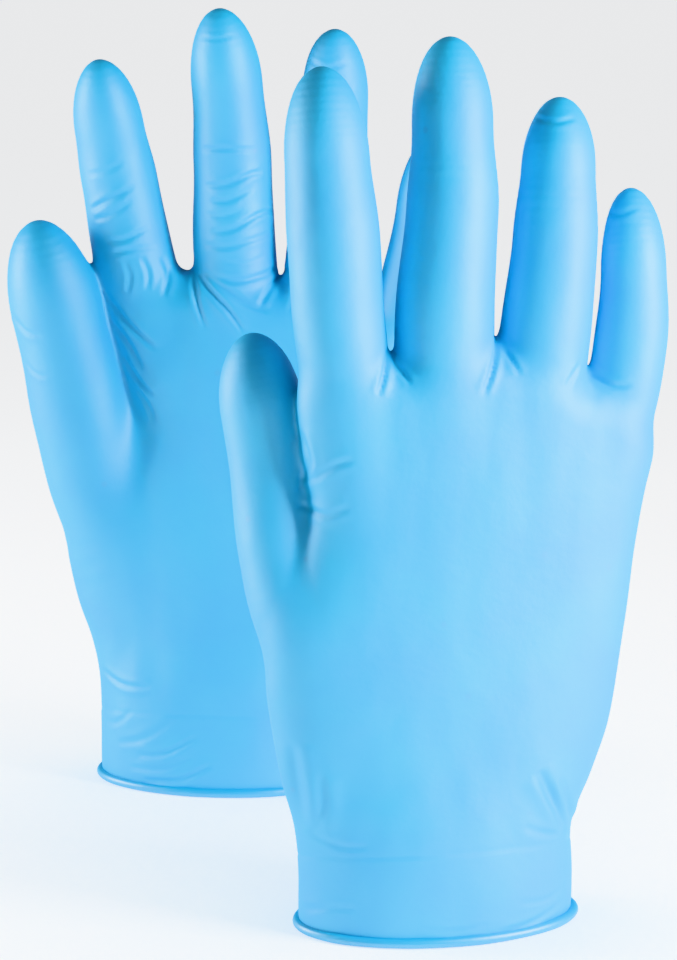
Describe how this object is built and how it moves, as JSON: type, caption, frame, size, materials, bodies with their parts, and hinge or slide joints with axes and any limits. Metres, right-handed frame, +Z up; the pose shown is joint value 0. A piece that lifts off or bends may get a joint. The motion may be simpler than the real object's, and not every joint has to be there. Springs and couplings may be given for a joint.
{
  "type": "pair of disposable gloves",
  "caption": "Pair of thin blue dipped disposable gloves standing open on rolled cuffs, with digits that bend at their knuckle folds.",
  "frame": {"origin": "middle of the pair's footprint, on the surface they stand on", "axes": "+X across the palms, away from the thumbs; +Y from the front glove to the rear one; +Z up, cuff to fingertips"},
  "size_m": [0.1894, 0.1821, 0.2421],
  "materials": {
    "glove_film": "satin, slightly translucent dipped film",
    "cuff_film": "satin, slightly translucent dipped film",
    "bead": "satin, film rolled on itself",
    "fold_film": "satin, finely creased film"
  },
  "bodies": {
    "front_glove": {"front_hand": "glove_film", "front_cuff": "cuff_film", "front_bead": "bead", "front_thumb_base_fold": "fold_film", "front_index_base_fold": "fold_film", "front_middle_base_fold": "fold_film", "front_ring_base_fold": "fold_film", "front_little_base_fold": "fold_film"},
    "rear_glove": {"rear_hand": "glove_film", "rear_cuff": "cuff_film", "rear_bead": "bead", "rear_thumb_base_fold": "fold_film", "rear_index_base_fold": "fold_film", "rear_middle_base_fold": "fold_film", "rear_ring_base_fold": "fold_film", "rear_little_base_fold": "fold_film"},
    "front_thumb_base": {"front_thumb_base": "glove_film", "front_thumb_tip_fold": "fold_film"},
    "front_thumb_tip": {"front_thumb_tip": "glove_film"},
    "front_index_base": {"front_index_base": "glove_film", "front_index_mid_fold": "fold_film"},
    "front_index_mid": {"front_index_mid": "glove_film", "front_index_tip_fold": "fold_film"},
    "front_index_tip": {"front_index_tip": "glove_film"},
    "front_middle_base": {"front_middle_base": "glove_film", "front_middle_mid_fold": "fold_film"},
    "front_middle_mid": {"front_middle_mid": "glove_film", "front_middle_tip_fold": "fold_film"},
    "front_middle_tip": {"front_middle_tip": "glove_film"},
    "front_ring_base": {"front_ring_base": "glove_film", "front_ring_mid_fold": "fold_film"},
    "front_ring_mid": {"front_ring_mid": "glove_film", "front_ring_tip_fold": "fold_film"},
    "front_ring_tip": {"front_ring_tip": "glove_film"},
    "front_little_base": {"front_little_base": "glove_film", "front_little_tip_fold": "fold_film"},
    "front_little_tip": {"front_little_tip": "glove_film"},
    "rear_thumb_base": {"rear_thumb_base": "glove_film", "rear_thumb_tip_fold": "fold_film"},
    "rear_thumb_tip": {"rear_thumb_tip": "glove_film"},
    "rear_index_base": {"rear_index_base": "glove_film", "rear_index_mid_fold": "fold_film"},
    "rear_index_mid": {"rear_index_mid": "glove_film", "rear_index_tip_fold": "fold_film"},
    "rear_index_tip": {"rear_index_tip": "glove_film"},
    "rear_middle_base": {"rear_middle_base": "glove_film", "rear_middle_mid_fold": "fold_film"},
    "rear_middle_mid": {"rear_middle_mid": "glove_film", "rear_middle_tip_fold": "fold_film"},
    "rear_middle_tip": {"rear_middle_tip": "glove_film"},
    "rear_ring_base": {"rear_ring_base": "glove_film", "rear_ring_mid_fold": "fold_film"},
    "rear_ring_mid": {"rear_ring_mid": "glove_film", "rear_ring_tip_fold": "fold_film"},
    "rear_ring_tip": {"rear_ring_tip": "glove_film"},
    "rear_little_base": {"rear_little_base": "glove_film", "rear_little_tip_fold": "fold_film"},
    "rear_little_tip": {"rear_little_tip": "glove_film"}
  },
  "joints": [
    {"name": "rear_glove_move", "type": "slide", "parent": "front_glove", "child": "rear_glove", "axis": [0, 1, 0], "range_m": [0, 0.12]},
    {"name": "front_thumb_root_bend", "type": "hinge", "parent": "front_glove", "child": "front_thumb_base", "pos_m": [-0.00907, -0.06548, 0.105], "axis": [-0.9176, 0.3064, -0.2531], "range_deg": [0, 60], "stiffness_Nm_per_rad": 0.004, "deforming": ["front_thumb_base_fold"]},
    {"name": "front_thumb_middle_bend", "type": "hinge", "parent": "front_thumb_base", "child": "front_thumb_tip", "pos_m": [-0.01216, -0.06103, 0.131], "axis": [-0.9346, 0.3121, -0.1708], "range_deg": [0, 60], "stiffness_Nm_per_rad": 0.004, "deforming": ["front_thumb_tip_fold"]},
    {"name": "front_index_root_bend", "type": "hinge", "parent": "front_glove", "child": "front_index_base", "pos_m": [0.0064, -0.0714, 0.165], "axis": [-0.9741, -0.2071, -0.0906], "range_deg": [0, 60], "stiffness_Nm_per_rad": 0.004, "deforming": ["front_index_base_fold"]},
    {"name": "front_index_middle_bend", "type": "hinge", "parent": "front_index_base", "child": "front_index_mid", "pos_m": [0.00472, -0.07073, 0.1897], "axis": [-0.9769, -0.2076, -0.0505], "range_deg": [0, 60], "stiffness_Nm_per_rad": 0.004, "deforming": ["front_index_mid_fold"]},
    {"name": "front_index_end_bend", "type": "hinge", "parent": "front_index_mid", "child": "front_index_tip", "pos_m": [0.00322, -0.06798, 0.212], "axis": [-0.9774, -0.2077, -0.0401], "range_deg": [0, 40], "stiffness_Nm_per_rad": 0.004, "deforming": ["front_index_tip_fold"]},
    {"name": "front_middle_root_bend", "type": "hinge", "parent": "front_glove", "child": "front_middle_base", "pos_m": [0.03439, -0.06647, 0.169], "axis": [-0.9773, -0.2077, 0.0406], "range_deg": [0, 60], "stiffness_Nm_per_rad": 0.004, "deforming": ["front_middle_base_fold"]},
    {"name": "front_middle_middle_bend", "type": "hinge", "parent": "front_middle_base", "child": "front_middle_mid", "pos_m": [0.03633, -0.06503, 0.196], "axis": [-0.9766, -0.2076, 0.0571], "range_deg": [0, 60], "stiffness_Nm_per_rad": 0.004, "deforming": ["front_middle_mid_fold"]},
    {"name": "front_middle_end_bend", "type": "hinge", "parent": "front_middle_mid", "child": "front_middle_tip", "pos_m": [0.03639, -0.06196, 0.2174], "axis": [-0.978, -0.2079, 0.0164], "range_deg": [0, 40], "stiffness_Nm_per_rad": 0.004, "deforming": ["front_middle_tip_fold"]},
    {"name": "front_ring_root_bend", "type": "hinge", "parent": "front_glove", "child": "front_ring_base", "pos_m": [0.06168, -0.06067, 0.165], "axis": [-0.9732, -0.2069, 0.1], "range_deg": [0, 60], "stiffness_Nm_per_rad": 0.004, "deforming": ["front_ring_base_fold"]},
    {"name": "front_ring_middle_bend", "type": "hinge", "parent": "front_ring_base", "child": "front_ring_mid", "pos_m": [0.06382, -0.05919, 0.188], "axis": [-0.9739, -0.207, 0.0931], "range_deg": [0, 60], "stiffness_Nm_per_rad": 0.004, "deforming": ["front_ring_mid_fold"]},
    {"name": "front_ring_end_bend", "type": "hinge", "parent": "front_ring_mid", "child": "front_ring_tip", "pos_m": [0.06476, -0.05593, 0.2074], "axis": [-0.9738, -0.207, 0.0945], "range_deg": [0, 40], "stiffness_Nm_per_rad": 0.004, "deforming": ["front_ring_tip_fold"]},
    {"name": "front_little_root_bend", "type": "hinge", "parent": "front_glove", "child": "front_little_base", "pos_m": [0.08504, -0.05468, 0.16], "axis": [-0.9704, -0.2063, 0.1253], "range_deg": [0, 60], "stiffness_Nm_per_rad": 0.004, "deforming": ["front_little_base_fold"]},
    {"name": "front_little_middle_bend", "type": "hinge", "parent": "front_little_base", "child": "front_little_tip", "pos_m": [0.08562, -0.05354, 0.18], "axis": [-0.9777, -0.2078, 0.0299], "range_deg": [0, 60], "stiffness_Nm_per_rad": 0.004, "deforming": ["front_little_tip_fold"]},
    {"name": "rear_thumb_root_bend", "type": "hinge", "parent": "rear_glove", "child": "rear_thumb_base", "pos_m": [-0.07289, 0.06572, 0.113], "axis": [0.8842, 0.4023, 0.2375], "range_deg": [0, 60], "stiffness_Nm_per_rad": 0.004, "deforming": ["rear_thumb_base_fold"]},
    {"name": "rear_thumb_middle_bend", "type": "hinge", "parent": "rear_thumb_base", "child": "rear_thumb_tip", "pos_m": [-0.07839, 0.06127, 0.143], "axis": [0.8867, 0.4035, 0.2257], "range_deg": [0, 60], "stiffness_Nm_per_rad": 0.004, "deforming": ["rear_thumb_tip_fold"]},
    {"name": "rear_index_root_bend", "type": "hinge", "parent": "rear_glove", "child": "rear_index_base", "pos_m": [-0.05646, 0.06902, 0.164], "axis": [0.9719, -0.1022, 0.212], "range_deg": [0, 60], "stiffness_Nm_per_rad": 0.004, "deforming": ["rear_index_base_fold"]},
    {"name": "rear_index_middle_bend", "type": "hinge", "parent": "rear_index_base", "child": "rear_index_mid", "pos_m": [-0.06094, 0.06848, 0.189], "axis": [0.9831, -0.1033, 0.151], "range_deg": [0, 60], "stiffness_Nm_per_rad": 0.004, "deforming": ["rear_index_mid_fold"]},
    {"name": "rear_index_end_bend", "type": "hinge", "parent": "rear_index_mid", "child": "rear_index_tip", "pos_m": [-0.06344, 0.06573, 0.206], "axis": [0.9873, -0.1038, 0.12], "range_deg": [0, 40], "stiffness_Nm_per_rad": 0.004, "deforming": ["rear_index_tip_fold"]},
    {"name": "rear_middle_root_bend", "type": "hinge", "parent": "rear_glove", "child": "rear_middle_base", "pos_m": [-0.02572, 0.06679, 0.1695], "axis": [0.9941, -0.1045, 0.0291], "range_deg": [0, 60], "stiffness_Nm_per_rad": 0.004, "deforming": ["rear_middle_base_fold"]},
    {"name": "rear_middle_middle_bend", "type": "hinge", "parent": "rear_middle_base", "child": "rear_middle_mid", "pos_m": [-0.02602, 0.06582, 0.195], "axis": [0.9942, -0.1045, 0.0243], "range_deg": [0, 60], "stiffness_Nm_per_rad": 0.004, "deforming": ["rear_middle_mid_fold"]},
    {"name": "rear_middle_end_bend", "type": "hinge", "parent": "rear_middle_mid", "child": "rear_middle_tip", "pos_m": [-0.02723, 0.06293, 0.217], "axis": [0.9928, -0.1044, 0.0582], "range_deg": [0, 40], "stiffness_Nm_per_rad": 0.004, "deforming": ["rear_middle_tip_fold"]},
    {"name": "rear_ring_root_bend", "type": "hinge", "parent": "rear_glove", "child": "rear_ring_base", "pos_m": [0.00193, 0.06389, 0.167], "axis": [0.99, -0.1041, -0.095], "range_deg": [0, 60], "stiffness_Nm_per_rad": 0.004, "deforming": ["rear_ring_base_fold"]},
    {"name": "rear_ring_middle_bend", "type": "hinge", "parent": "rear_ring_base", "child": "rear_ring_mid", "pos_m": [0.00371, 0.06269, 0.19], "axis": [0.9916, -0.1042, -0.0768], "range_deg": [0, 60], "stiffness_Nm_per_rad": 0.004, "deforming": ["rear_ring_mid_fold"]},
    {"name": "rear_ring_end_bend", "type": "hinge", "parent": "rear_ring_mid", "child": "rear_ring_tip", "pos_m": [0.00489, 0.05955, 0.211], "axis": [0.9933, -0.1044, -0.0497], "range_deg": [0, 40], "stiffness_Nm_per_rad": 0.004, "deforming": ["rear_ring_tip_fold"]},
    {"name": "rear_little_root_bend", "type": "hinge", "parent": "rear_glove", "child": "rear_little_base", "pos_m": [0.02867, 0.06007, 0.158], "axis": [0.9639, -0.1013, -0.2463], "range_deg": [0, 60], "stiffness_Nm_per_rad": 0.004, "deforming": ["rear_little_base_fold"]},
    {"name": "rear_little_middle_bend", "type": "hinge", "parent": "rear_little_base", "child": "rear_little_tip", "pos_m": [0.03275, 0.05864, 0.18], "axis": [0.9823, -0.1032, -0.1561], "range_deg": [0, 60], "stiffness_Nm_per_rad": 0.004, "deforming": ["rear_little_tip_fold"]}
  ],
  "couplings": [
    {"joint": "front_index_end_bend", "follows": "front_index_middle_bend", "ratio": 0.6666},
    {"joint": "front_middle_end_bend", "follows": "front_middle_middle_bend", "ratio": 0.6666},
    {"joint": "front_ring_end_bend", "follows": "front_ring_middle_bend", "ratio": 0.6666},
    {"joint": "rear_index_end_bend", "follows": "rear_index_middle_bend", "ratio": 0.6666},
    {"joint": "rear_middle_end_bend", "follows": "rear_middle_middle_bend", "ratio": 0.6666},
    {"joint": "rear_ring_end_bend", "follows": "rear_ring_middle_bend", "ratio": 0.6666}
  ]
}
